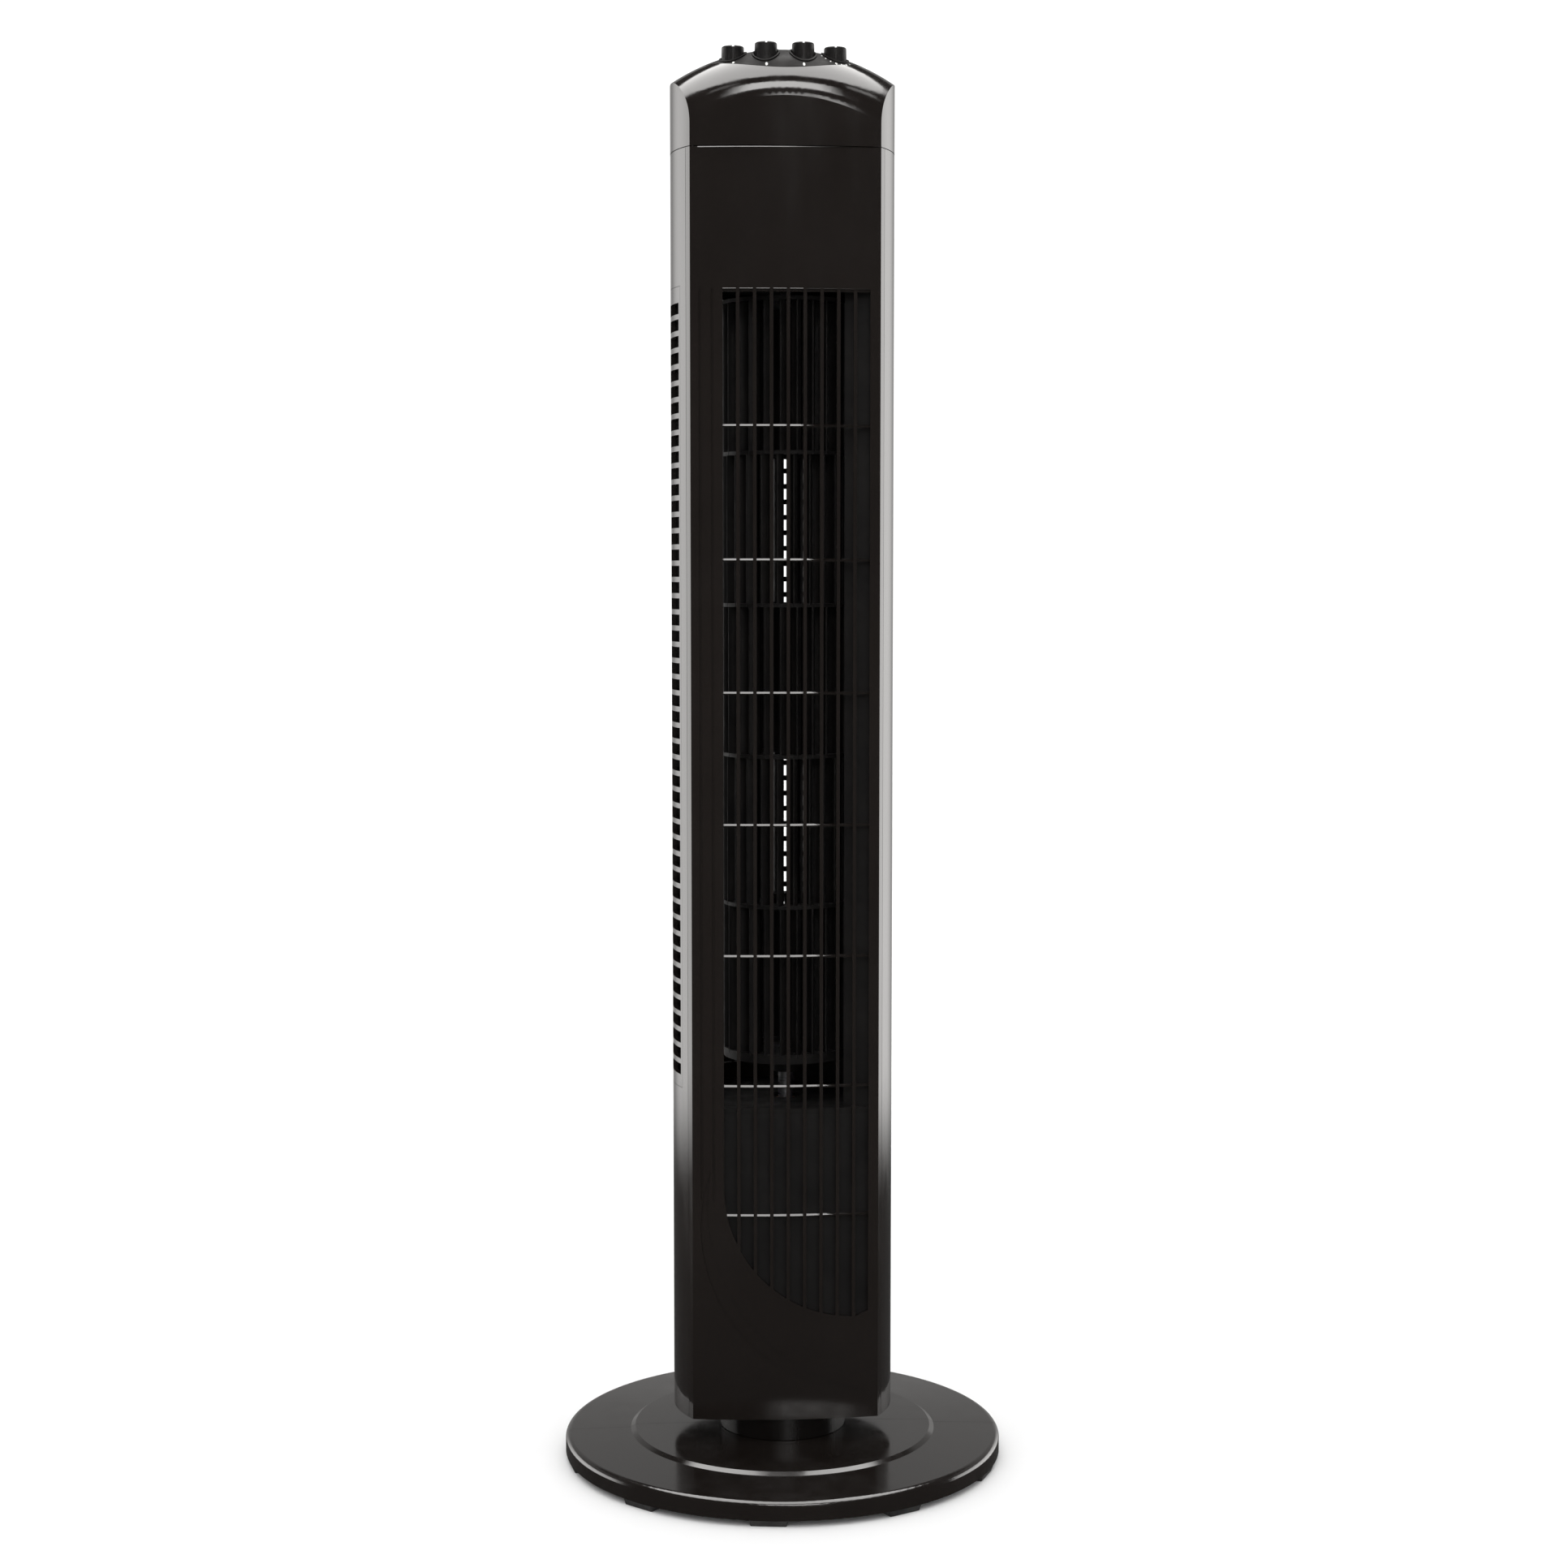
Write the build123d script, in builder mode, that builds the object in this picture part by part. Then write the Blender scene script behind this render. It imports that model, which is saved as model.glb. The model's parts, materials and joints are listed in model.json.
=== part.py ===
from build123d import *
from math import cos, radians, sin, sqrt
import os

os.makedirs("parts", exist_ok=True)

# Tower fan, free standing. Millimetres, +Z up, front faces -Y, origin on the
# floor under the column's axis. Angles are degrees, counter-clockwise from +X.

# ---- driving dimensions ----
base_r = 120.0            # round base
foot_h = 3.4              # underside of the rim above the floor
rim_top_z = 13.4          # base top at the rim
ring_foot_z = 14.4        # outer annulus at the foot of the step
ring_top_z = 15.9         # inner disc at its edge
crown_z = 16.6            # inner disc at the neck
ring_foot_r = 84.0
ring_top_r = 81.5
base_under_z = 11.2       # underside of the base shells
base_wall = 2.6
foot_count = 10
foot_turn = 6.4           # the foot pattern is turned this far from the front

column_r = 60.0           # round side and back of the column
front_y = -36.7           # middle of the slightly convex front face
front_r = 333.5           # radius of the front face
column_z0 = 29.0
seam_z = 708.0            # top of the column body, foot of the cap
panel_t = 3.0             # front panel wall
shell_t = 2.6             # rear housing wall
part_gap = 0.2            # gap between shells that meet edge to edge

cap_apex_z = 762.0
cap_arch_r = 110.0        # arch across the top, seen from the front
cap_round_r = 28.0        # rounding from the arch into the front face
cap_t = 2.5
panel_oval = (46.5, 32.3) # half axes of the control panel insert

neck_r = 35.0             # skirt of the turntable
ring_in_r = 25.5          # bearing ring of the base
ring_out_r = 29.0
run_gap = 0.05            # radial clearance of a running fit
free_gap = 0.3            # clearance of bodies that pass each other

crank_d = 13.5            # crank shaft to swivel axis
crank_r = 9.45            # crank throw
crank_pin_r = 1.8

impeller_r = 34.0
impeller_xy = (2.0, 6.0)
impeller_z0 = 225.0
segment_h = 81.0
segment_count = 5
blade_count = 24

motor_plate_z = 196.0
plate_t = 3.0
bearing_plate_z = 640.0

knob_r = 6.2
cup_in_r = 6.55
cup_out_r = 7.35
cup_floor_z = 747.0
cup_rise = 0.6            # collars stand this far above the dome
switch_top_z = 743.0
shaft_r = 3.0
# name, x, y and top height of each knob, left to right
knobs = [
    ("oscillation", -27.0, -17.0, 762.0),
    ("speed", -9.8, -22.0, 763.3),
    ("mode", 9.8, -22.0, 763.3),
    ("timer", 27.0, -17.0, 762.0),
]

front_centre = (0, front_y + front_r)
impeller_top_z = impeller_z0 + segment_count * segment_h


def write(piece, node):
    """Label a finished piece and write it under its node's name."""
    piece.label = node
    export_step(piece, "parts/" + node + ".step")


def column_section(inset, z=0.0):
    """Section of the column, inset from its outer skin."""
    with BuildSketch(Plane.XY.offset(z)) as outline:
        Circle(column_r - inset)
        with Locations(front_centre):
            Circle(front_r - inset, mode=Mode.INTERSECT)
    return outline.sketch


def front_band(outer_inset, inner_inset, x_low, x_high, z=0.0):
    """Curved strip that follows the front face between two x values."""
    with BuildSketch(Plane.XY.offset(z)) as band:
        with Locations(front_centre):
            Circle(front_r - outer_inset)
            Circle(front_r - inner_inset, mode=Mode.SUBTRACT)
        with Locations(((x_low + x_high) / 2, -column_r / 2)):
            Rectangle(x_high - x_low, column_r, mode=Mode.INTERSECT)
    return band.sketch


def ring_sector(r_in, r_out, angle_from, angle_to, plane=Plane.XY):
    """Part of a flat ring between two angles."""
    start = radians(angle_from)
    stop = radians(angle_to)
    span = angle_to - angle_from
    with BuildSketch(plane) as sector:
        with BuildLine():
            CenterArc((0, 0), r_out, angle_from, span)
            CenterArc((0, 0), r_in, angle_from, span)
            Line((r_in * cos(start), r_in * sin(start)), (r_out * cos(start), r_out * sin(start)))
            Line((r_in * cos(stop), r_in * sin(stop)), (r_out * cos(stop), r_out * sin(stop)))
        make_face()
    return sector.sketch


# ---- base ----
rim_round = 3.0
hub_boss_r = 31.7
base_hole_r = 32.0
pad_length = 10.0
pad_width = 18.0
hub_flange_r = 74.0
hub_flange_t = 3.0
base_screw_r = 66.0
base_screw_count = 8

with BuildPart() as base_shell:
    with BuildSketch(Plane.XZ):
        with BuildLine():
            Polyline(
                (base_hole_r, base_under_z),
                (base_hole_r, crown_z),
                (ring_top_r, ring_top_z),
                (ring_foot_r, ring_foot_z),
                (base_r, rim_top_z),
                (base_r, foot_h),
                (base_r - base_wall, foot_h),
                (base_r - base_wall, base_under_z),
                close=True,
            )
        make_face()
    revolve(axis=Axis.Z)
    rim_edges = base_shell.edges().filter_by(GeomType.CIRCLE)
    rim_edges = rim_edges.filter_by(lambda e: abs(e.radius - base_r) < 0.01)
    fillet(rim_edges.sort_by(Axis.Z)[-1], radius=rim_round)
    # pads inside the rim that the feet are glued to
    with BuildSketch(Plane.XY.offset(foot_h)):
        with PolarLocations(base_r - base_wall - pad_length / 2, foot_count, 270 - foot_turn):
            Rectangle(pad_length + 0.4, pad_width)
    extrude(amount=base_under_z - foot_h + 0.4)
    # blind holes for the screws that come up through the hub
    with BuildSketch(Plane.XY.offset(base_under_z)):
        with PolarLocations(base_screw_r, base_screw_count, 22.5):
            Circle(1.5)
    extrude(amount=3.6, mode=Mode.SUBTRACT)

with BuildPart() as base_front:
    add(base_shell.part)
    split(bisect_by=Plane.XZ.offset(part_gap / 2), keep=Keep.TOP)
write(base_front.part, "base_front")

with BuildPart() as base_rear:
    add(base_shell.part)
    split(bisect_by=Plane.XZ.offset(-part_gap / 2), keep=Keep.BOTTOM)
write(base_rear.part, "base_rear")

foot_width = 21.0
foot_radial = 12.0
foot_draft = 19.0
with BuildPart() as base_feet:
    with BuildSketch(Plane.XY.offset(foot_h)):
        with PolarLocations(base_r - foot_radial / 2 - 0.4, foot_count, 270 - foot_turn):
            RectangleRounded(foot_radial, foot_width, 2.0)
    extrude(amount=-foot_h, taper=foot_draft)
write(base_feet.part, "base_feet")

with BuildPart() as base_hub:
    with BuildSketch(Plane.XY.offset(base_under_z - hub_flange_t)):
        Circle(hub_flange_r)
        with PolarLocations(base_screw_r, base_screw_count, 22.5):
            Circle(1.7, mode=Mode.SUBTRACT)
    extrude(amount=hub_flange_t)
    with BuildSketch(Plane.XY.offset(base_under_z)):
        Circle(hub_boss_r)
    extrude(amount=crown_z - base_under_z)
    with BuildSketch(Plane.XY.offset(crown_z)):
        Circle(ring_out_r)
        Circle(ring_in_r, mode=Mode.SUBTRACT)
    extrude(amount=5.4)
    # weight-saving pocket from below, with four ribs left standing
    with BuildSketch(Plane.XY.offset(base_under_z - hub_flange_t)):
        Circle(28.0)
        Rectangle(60.0, 2.0, mode=Mode.SUBTRACT)
        Rectangle(2.0, 60.0, mode=Mode.SUBTRACT)
    extrude(amount=5.0, mode=Mode.SUBTRACT)
    with BuildSketch(Plane.XY.offset(crown_z + 5.4)):
        with PolarLocations((ring_in_r + ring_out_r) / 2, 4, 45):
            Circle(0.8)
    extrude(amount=-5.0, mode=Mode.SUBTRACT)
write(base_hub.part, "base_hub")

ring_top = crown_z + 5.4
with BuildPart() as retaining_ring:
    with BuildSketch(Plane.XY.offset(ring_top)):
        Circle(ring_out_r + 2.8)
        Circle(ring_in_r, mode=Mode.SUBTRACT)
        with PolarLocations((ring_in_r + ring_out_r) / 2, 4, 45):
            Circle(0.9, mode=Mode.SUBTRACT)
    extrude(amount=1.6)
write(retaining_ring.part, "retaining_ring")

with BuildPart() as retaining_screws:
    with BuildSketch(Plane.XY.offset(ring_top + 1.6)):
        with PolarLocations((ring_in_r + ring_out_r) / 2, 4, 45):
            Circle(1.6)
    extrude(amount=0.9)
    with BuildSketch(Plane.XY.offset(ring_top + 1.6)):
        with PolarLocations((ring_in_r + ring_out_r) / 2, 4, 45):
            Circle(0.75)
    extrude(amount=-6.0)
write(retaining_screws.part, "retaining_screws")

with BuildPart() as yoke_plate:
    with BuildSketch(Plane.XY.offset(crown_z)):
        Circle(ring_in_r - 0.2)
        with Locations((0, ring_in_r / 2 + 0.5)):
            SlotOverall(ring_in_r - 1.0, 2 * crank_pin_r + 1.2, rotation=90, mode=Mode.SUBTRACT)
    extrude(amount=3.0)
write(yoke_plate.part, "yoke_plate")

with BuildPart() as base_screws:
    with BuildSketch(Plane.XY.offset(base_under_z - hub_flange_t)):
        with PolarLocations(base_screw_r, base_screw_count, 22.5):
            Circle(3.2)
    extrude(amount=-2.2)
    with BuildSketch(Plane.XY.offset(base_under_z - hub_flange_t)):
        with PolarLocations(base_screw_r, base_screw_count, 22.5):
            Circle(1.45)
    extrude(amount=hub_flange_t + 3.2)
    with BuildSketch(Plane.XY.offset(base_under_z - hub_flange_t - 2.2)):
        with PolarLocations(base_screw_r, base_screw_count, 22.5):
            Rectangle(3.6, 0.8)
            Rectangle(0.8, 3.6)
    extrude(amount=1.2, mode=Mode.SUBTRACT)
write(base_screws.part, "base_screws")

# ---- turntable and swivel ----
housing_screw_x = 25.0
housing_screw_z = (39.0, 704.0)
housing_screw_y = 54.2       # seat of the screw heads
slip_gap = free_gap
slip_t = 1.5
flange_t = 2.6
skirt_z = crown_z + slip_gap + slip_t
roof_inset = shell_t + 0.5
rim_wall_t = 2.5
rim_wall_h = 14.0
crank_xy = (0, crank_d)

with BuildPart() as slip_ring:
    with BuildSketch(Plane.XY.offset(crown_z + slip_gap)):
        Circle(neck_r - 0.3)
        Circle(ring_out_r + 0.4, mode=Mode.SUBTRACT)
    extrude(amount=slip_t)
write(slip_ring.part, "slip_ring")

with BuildPart() as turntable:
    # roof that closes the column from below, with a rim wall inside the shells
    extrude(column_section(roof_inset, column_z0), amount=plate_t)
    extrude(column_section(roof_inset, column_z0 + plate_t), amount=rim_wall_h)
    extrude(
        column_section(roof_inset + rim_wall_t, column_z0 + plate_t),
        amount=rim_wall_h,
        mode=Mode.SUBTRACT,
    )
    # neck with the inward flange that runs on the base's bearing ring
    with BuildSketch(Plane.XY.offset(skirt_z)):
        Circle(neck_r)
        Circle(neck_r - 2.4, mode=Mode.SUBTRACT)
    extrude(amount=column_z0 - skirt_z)
    with BuildSketch(Plane.XY.offset(skirt_z)):
        Circle(neck_r - 1.0)
        Circle(ring_out_r + run_gap, mode=Mode.SUBTRACT)
    extrude(amount=flange_t)
    # hole for the crank shaft, and a slot for the wires
    with BuildSketch(Plane.XY.offset(column_z0)):
        with Locations(crank_xy):
            Circle(3.4)
        with Locations((34, 0)):
            SlotOverall(14, 6)
    extrude(amount=plate_t, mode=Mode.SUBTRACT)
    # screw holes in the back of the rim wall
    with BuildSketch(Plane.XZ.offset(-40)):
        with Locations((-housing_screw_x, housing_screw_z[0]), (housing_screw_x, housing_screw_z[0])):
            Circle(1.55)
    extrude(amount=-30, mode=Mode.SUBTRACT)
write(turntable.part, "turntable")

crank_z = 25.4
crank_arm_t = 3.0
swing_motor_z = column_z0 + plate_t
swing_motor_r = 21.0
swing_motor_h = 14.0
swing_ear_x = 26.0
with BuildPart() as swing_crank:
    with BuildSketch(Plane.XY.offset(crank_z)):
        with Locations((0, crank_d + crank_r / 2)):
            SlotCenterToCenter(crank_r, 7.0, rotation=90)
    extrude(amount=crank_arm_t)
    with BuildSketch(Plane.XY.offset(crank_z)):
        with Locations(crank_xy):
            Circle(3.0)
    extrude(amount=swing_motor_z + 8.0 - crank_z)
    with BuildSketch(Plane.XY.offset(crank_z)):
        with Locations((0, crank_d + crank_r)):
            Circle(crank_pin_r)
    extrude(amount=-(crank_z - crown_z - 0.6))
write(swing_crank.part, "swing_crank")

with BuildPart() as swing_motor:
    with BuildSketch(Plane.XY.offset(swing_motor_z)):
        with Locations(crank_xy):
            Circle(swing_motor_r)
            SlotCenterToCenter(2 * swing_ear_x, 8.0)
    extrude(amount=1.5)
    with BuildSketch(Plane.XY.offset(swing_motor_z)):
        with Locations(crank_xy):
            Circle(swing_motor_r)
    extrude(amount=swing_motor_h)
    fillet(swing_motor.edges().group_by(Axis.Z)[-1], radius=1.5)
    with Locations((0, crank_d, swing_motor_z)):
        Cylinder(
            3.0 + run_gap,
            8.4,
            align=(Align.CENTER, Align.CENTER, Align.MIN),
            mode=Mode.SUBTRACT,
        )
    with BuildSketch(Plane.XY.offset(swing_motor_z)):
        with Locations((-swing_ear_x, crank_d), (swing_ear_x, crank_d)):
            Circle(1.7)
    extrude(amount=1.5, mode=Mode.SUBTRACT)
write(swing_motor.part, "swing_motor")

with BuildPart() as swing_motor_screws:
    with BuildSketch(Plane.XY.offset(swing_motor_z + 1.5)):
        with Locations((-swing_ear_x, crank_d), (swing_ear_x, crank_d)):
            Circle(3.0)
    extrude(amount=2.0)
    fillet(swing_motor_screws.edges().group_by(Axis.Z)[-1], radius=0.8)
    with BuildSketch(Plane.XY.offset(swing_motor_z)):
        with Locations((-swing_ear_x, crank_d), (swing_ear_x, crank_d)):
            Circle(1.5)
    extrude(amount=1.5)
write(swing_motor_screws.part, "swing_motor_screws")

# ---- column shells ----
field_x = (-33.15, 44.6)     # width of the slotted field
field_top_z = 634.6
slot_pitch = 8.85
slat_w = 1.9
slat_first_x = -25.25
slat_count = 8
sweep_centre = (38.0, 156.0)  # the slots end on a quarter circle
sweep_r = 71.0
bar_pitch = 70.4
bar_count = 8
bar_h = 1.5
flute_x = (-38.6, -45.0)
flute_w = 1.4
flute_depth = 0.5
crescent_centre = (44.7, 134.6)
crescent_r = 90.5
crescent_shift = (18.3, 12.8)  # its inner circle is larger and shifted, so both ends taper
crescent_inner_r = 104.9
body_h = seam_z - column_z0

with BuildPart() as crescent:
    with BuildSketch(Plane.XZ):
        with Locations(crescent_centre):
            Circle(crescent_r)
        with Locations((crescent_centre[0] + crescent_shift[0], crescent_centre[1] + crescent_shift[1])):
            Circle(crescent_inner_r, mode=Mode.SUBTRACT)
    extrude(amount=column_r)
    extrude(front_band(-1.0, flute_depth, -60, 60, column_z0), amount=body_h, mode=Mode.INTERSECT)

with BuildPart() as front_grille:
    with BuildSketch(Plane.XY.offset(column_z0)):
        Circle(column_r)
        with Locations(front_centre):
            Circle(front_r, mode=Mode.INTERSECT)
            Circle(front_r - panel_t, mode=Mode.SUBTRACT)
    extrude(amount=body_h)
    # slot columns: the field less its slats
    with BuildSketch(Plane.XZ.offset(20)):
        with BuildLine():
            Line((field_x[0], sweep_centre[1]), (field_x[0], field_top_z))
            Line((field_x[0], field_top_z), (field_x[1], field_top_z))
            Line((field_x[1], field_top_z), (field_x[1], sweep_centre[1] - sweep_r + 3))
            Line((field_x[1], sweep_centre[1] - sweep_r + 3), (sweep_centre[0], sweep_centre[1] - sweep_r))
            RadiusArc(
                (sweep_centre[0], sweep_centre[1] - sweep_r),
                (field_x[0], sweep_centre[1]),
                sweep_r,
            )
        make_face()
        for slat in range(slat_count):
            with Locations((slat_first_x + slat * slot_pitch, 360.0)):
                Rectangle(slat_w, 600.0, mode=Mode.SUBTRACT)
    extrude(amount=40, mode=Mode.SUBTRACT)
    # crossbars behind the slats
    for bar in range(bar_count):
        bar_z = field_top_z - bar_h - bar * bar_pitch
        extrude(front_band(1.6, panel_t, field_x[0] - 0.5, field_x[1] + 0.5, bar_z), amount=bar_h)
    # two shallow flutes and the crescent
    for x in flute_x:
        extrude(
            front_band(-1.0, flute_depth, x - flute_w / 2, x + flute_w / 2, 150.0),
            amount=field_top_z - 150.0,
            mode=Mode.SUBTRACT,
        )
    add(crescent.part, mode=Mode.SUBTRACT)
write(front_grille.part, "front_grille")

window_angles = (5.0, 203.0)   # round the back, from the +X side to the -X side
window_z = (209.0, 637.0)
slot_angles = (8.0, 201.0)
slot_z0 = 216.0
slot_rows = 48
slot_row_pitch = 8.65
slot_row_h = 5.9
rib_angle = 3.0               # upright ribs between the slot bays
side_rib_angle = 178.0        # the side bay starts here, just round the column's side
back_bays = 6
back_pitch = (side_rib_angle - slot_angles[0]) / back_bays
slot_bays = [(slot_angles[0] + k * back_pitch, back_pitch - rib_angle) for k in range(back_bays)]
slot_bays.append((side_rib_angle, slot_angles[1] - side_rib_angle))
fin_r = (51.5, 58.5)          # fins behind the ribs
first_fin_angle = slot_angles[0] + back_pitch - rib_angle / 2
inlet_z = 57.0
inlet_r = 6.0
lip_h = 8.0
lip_inset = shell_t + 0.3
cap_gap = 0.4

with BuildPart() as rear_housing:
    with BuildSketch(Plane.XY.offset(column_z0)):
        Circle(column_r)
        Circle(column_r - shell_t, mode=Mode.SUBTRACT)
        with Locations(front_centre):
            Circle(front_r - panel_t - part_gap, mode=Mode.INTERSECT)
    extrude(amount=body_h)
    # window for the intake grille
    extrude(
        ring_sector(50, 70, *window_angles, Plane.XY.offset(window_z[0])),
        amount=window_z[1] - window_z[0],
        mode=Mode.SUBTRACT,
    )
    # hole for the mains inlet, and screw holes at the foot and the top of the back
    with BuildSketch(Plane.XZ.offset(-40)):
        with Locations((0, inlet_z)):
            Circle(inlet_r)
        for z in housing_screw_z:
            with Locations((-housing_screw_x, z), (housing_screw_x, z)):
                Circle(1.6)
    extrude(amount=-30, mode=Mode.SUBTRACT)
    with BuildSketch(Plane.XZ.offset(-housing_screw_y)):
        for z in housing_screw_z:
            with Locations((-housing_screw_x, z), (housing_screw_x, z)):
                Circle(3.4)
    extrude(amount=-10, mode=Mode.SUBTRACT)
write(rear_housing.part, "rear_housing")

with BuildPart() as rear_grille:
    extrude(
        ring_sector(
            column_r - shell_t,
            column_r,
            window_angles[0] + 0.15,
            window_angles[1] - 0.15,
            Plane.XY.offset(window_z[0] + part_gap),
        ),
        amount=window_z[1] - window_z[0] - 2 * part_gap,
    )
    # slots, bay by bay, with an upright rib left standing between the bays
    for bay_start, bay_span in slot_bays:
        bay_slots = []
        for row in range(slot_rows):
            slot_plane = Plane.XY.offset(slot_z0 + row * slot_row_pitch)
            outline = ring_sector(50, 70, bay_start, bay_start + bay_span, slot_plane)
            bay_slots.append(extrude(outline, amount=slot_row_h, mode=Mode.PRIVATE))
        add(bay_slots, mode=Mode.SUBTRACT)
    # fins that stiffen the ribs and shade the inside
    with BuildSketch(Plane.XY.offset(window_z[0] + 1)):
        with PolarLocations(sum(fin_r) / 2, back_bays, first_fin_angle, back_pitch * back_bays):
            Rectangle(fin_r[1] - fin_r[0], 1.6)
    extrude(amount=window_z[1] - window_z[0] - 2)
write(rear_grille.part, "rear_grille")

with BuildPart() as inlet_bush:
    with BuildSketch(Plane.XZ.offset(-(column_r - shell_t - 6.0))):
        with Locations((0, inlet_z)):
            Circle(inlet_r - 0.1)
            Circle(3.7, mode=Mode.SUBTRACT)
    extrude(amount=-(shell_t + 6.0))
    with BuildSketch(Plane.XZ.offset(-column_r)):
        with Locations((0, inlet_z)):
            Circle(inlet_r + 1.8)
            Circle(3.7, mode=Mode.SUBTRACT)
    extrude(amount=-1.4)
write(inlet_bush.part, "inlet_bush")

with BuildPart() as housing_screws:
    for z in housing_screw_z:
        with BuildSketch(Plane.XZ.offset(-housing_screw_y)):
            with Locations((-housing_screw_x, z), (housing_screw_x, z)):
                Circle(3.2)
        extrude(amount=-1.8)
        with BuildSketch(Plane.XZ.offset(-housing_screw_y)):
            with Locations((-housing_screw_x, z), (housing_screw_x, z)):
                Circle(1.5)
        extrude(amount=4.6)
write(housing_screws.part, "housing_screws")

with BuildPart() as motor_cover:
    # blanks the lower slots in front of the motor
    extrude(front_band(panel_t + 0.4, panel_t + 1.9, -37, 48, 78.0), amount=motor_plate_z - 78.0)
write(motor_cover.part, "motor_cover")

# ---- air guides and plates ----
with BuildPart() as motor_plate:
    extrude(column_section(panel_t + 0.3, motor_plate_z), amount=plate_t)
    with BuildSketch(Plane.XY.offset(motor_plate_z)):
        with Locations(impeller_xy):
            Circle(8.2)
    extrude(amount=plate_t, mode=Mode.SUBTRACT)
write(motor_plate.part, "motor_plate")

scroll_centre = (8.0, 4.0)
scroll_r = 40.0
guide_z0 = motor_plate_z + plate_t
guide_h = bearing_plate_z - guide_z0
scroll_from = -50.0
scroll_start = (
    scroll_centre[0] + scroll_r * cos(radians(scroll_from)),
    scroll_centre[1] + scroll_r * sin(radians(scroll_from)),
)
with BuildPart() as scroll_wall:
    with BuildSketch(Plane.XY.offset(guide_z0)):
        with BuildLine():
            CenterArc(scroll_centre, scroll_r, scroll_from, 143)
            Line((45.2, -28.4), scroll_start)
        trace(line_width=1.8)
    extrude(amount=guide_h)
write(scroll_wall.part, "scroll_wall")

with BuildPart() as tongue_wall:
    with BuildSketch(Plane.XY.offset(guide_z0)):
        with BuildLine():
            Line((-36.0, -31.2), (-37.0, -16.0))
            CenterArc((-41.0, -16.26), 4.0, 4.0, 160)
        trace(line_width=1.8)
        with Locations((-37.0, -16.0)):
            Circle(0.9)
    extrude(amount=guide_h)
write(tongue_wall.part, "tongue_wall")

with BuildPart() as bearing_plate:
    extrude(column_section(panel_t + 0.3, bearing_plate_z), amount=plate_t)
    with BuildSketch(Plane.XY.offset(bearing_plate_z)):
        with Locations(impeller_xy):
            Circle(8.0)
    extrude(amount=plate_t + 4.0)
    with BuildSketch(Plane.XY.offset(bearing_plate_z)):
        with Locations(impeller_xy):
            Circle(5.0)
    extrude(amount=plate_t + 4.0, mode=Mode.SUBTRACT)
write(bearing_plate.part, "bearing_plate")

with BuildPart() as top_bearing:
    with BuildSketch(Plane.XY.offset(bearing_plate_z - 1.0)):
        with Locations(impeller_xy):
            Circle(4.95)
            Circle(3.0 + run_gap, mode=Mode.SUBTRACT)
    extrude(amount=plate_t + 6.0)
write(top_bearing.part, "top_bearing")

# ---- impeller ----
disc_t = 2.0
blade_reach = 5.5
blade_turns = (12.0, 9.0)  # the blades of neighbouring segments are staggered
for segment in range(segment_count):
    z = impeller_z0 + segment * segment_h
    stagger = blade_turns[segment % 2]
    with BuildPart() as impeller_segment:
        with BuildSketch(Plane.XY.offset(z)):
            with Locations(impeller_xy):
                Circle(impeller_r)
                Circle(impeller_r - 11, mode=Mode.SUBTRACT)
        extrude(amount=disc_t)
        with BuildSketch(Plane.XY.offset(z)):
            with Locations(impeller_xy):
                with PolarLocations(impeller_r - blade_reach, blade_count, stagger):
                    SlotArc(CenterArc((0, -6.0), 6.0, 35, 110), 1.3)
        extrude(amount=segment_h)
    write(impeller_segment.part, "impeller_segment_" + str(segment + 1))

with BuildPart() as impeller_end:
    with BuildSketch(Plane.XY.offset(impeller_top_z)):
        with Locations(impeller_xy):
            Circle(impeller_r)
            Circle(2.9, mode=Mode.SUBTRACT)
    extrude(amount=disc_t)
write(impeller_end.part, "impeller_end")

with BuildPart() as impeller_axle:
    with BuildSketch(Plane.XY.offset(impeller_top_z - 1.0)):
        with Locations(impeller_xy):
            Circle(2.9)
    extrude(amount=1.0 + disc_t)
    with BuildSketch(Plane.XY.offset(impeller_top_z + disc_t)):
        with Locations(impeller_xy):
            Circle(3.0)
    extrude(amount=16.0)
    chamfer(impeller_axle.edges().group_by(Axis.Z)[-1], length=0.5)
write(impeller_axle.part, "impeller_axle")

hub_z = 213.0
motor_shaft_r = 4.0
with BuildPart() as impeller_hub:
    with BuildSketch(Plane.XY.offset(hub_z)):
        with Locations(impeller_xy):
            Circle(8.0)
    extrude(amount=impeller_z0 - hub_z)
    with BuildSketch(Plane.XY.offset(impeller_z0 - 3.0)):
        with Locations(impeller_xy):
            Circle(impeller_r)
    extrude(amount=3.0)
    with BuildSketch(Plane.XY.offset(hub_z)):
        with Locations(impeller_xy):
            Circle(motor_shaft_r)
    extrude(amount=impeller_z0 - hub_z, mode=Mode.SUBTRACT)
    flange_edges = impeller_hub.edges().filter_by(GeomType.CIRCLE).group_by(Axis.Z)[1]
    fillet(flange_edges.sort_by(SortBy.RADIUS)[0], radius=2.0)
write(impeller_hub.part, "impeller_hub")

# ---- motor ----
stator_z = (132.0, 168.0)
stator_r = 32.0
rotor_r = 16.7
air_gap = 0.3
bracket_z = (104.0, 192.0)
bracket_t = 4.0
tie_r = 28.4

with BuildPart() as motor_shaft:
    with BuildSketch(Plane.XY.offset(94.0)):
        with Locations(impeller_xy):
            Circle(motor_shaft_r)
    extrude(amount=impeller_z0 - 1.0 - 94.0)
    chamfer(motor_shaft.edges().group_by(Axis.Z)[0], length=0.6)
write(motor_shaft.part, "motor_shaft")

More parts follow.
